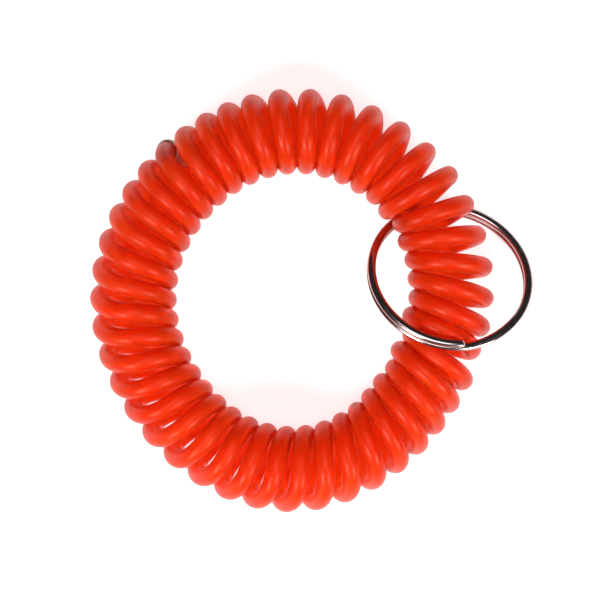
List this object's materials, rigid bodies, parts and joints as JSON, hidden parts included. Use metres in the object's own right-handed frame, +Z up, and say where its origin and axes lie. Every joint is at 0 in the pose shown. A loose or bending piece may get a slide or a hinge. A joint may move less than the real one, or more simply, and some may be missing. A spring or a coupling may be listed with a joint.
{
  "type": "spiral wrist coil key ring",
  "caption": "Stretchy helical plastic cord closed into a wrist-sized ring, with a metal split ring leaning through its turns.",
  "frame": {"origin": "on the surface that the coil lies on, under the middle of the whole object's bounding box", "axes": "+Z up, out of the plane of the coil; +X from the wrist hole towards the split ring; +Y across"},
  "size_m": [0.074, 0.0708, 0.0165],
  "materials": {
    "cord": "translucent glossy red-orange plastic",
    "crimp": "plain nickel-plated crimp, slightly dull",
    "ring": "bright nickel-plated spring steel"
  },
  "bodies": {
    "coil": {"coil_cord": "cord", "crimp_sleeve": "crimp"},
    "ring": {"split_ring": "ring"}
  },
  "joints": [
    {"name": "ring_tilt", "type": "hinge", "parent": "coil", "child": "ring", "pos_m": [0.02333, 0.00526, 0.00902], "axis": [-0.9659, 0.2588, 0], "range_deg": [0, 98]}
  ]
}
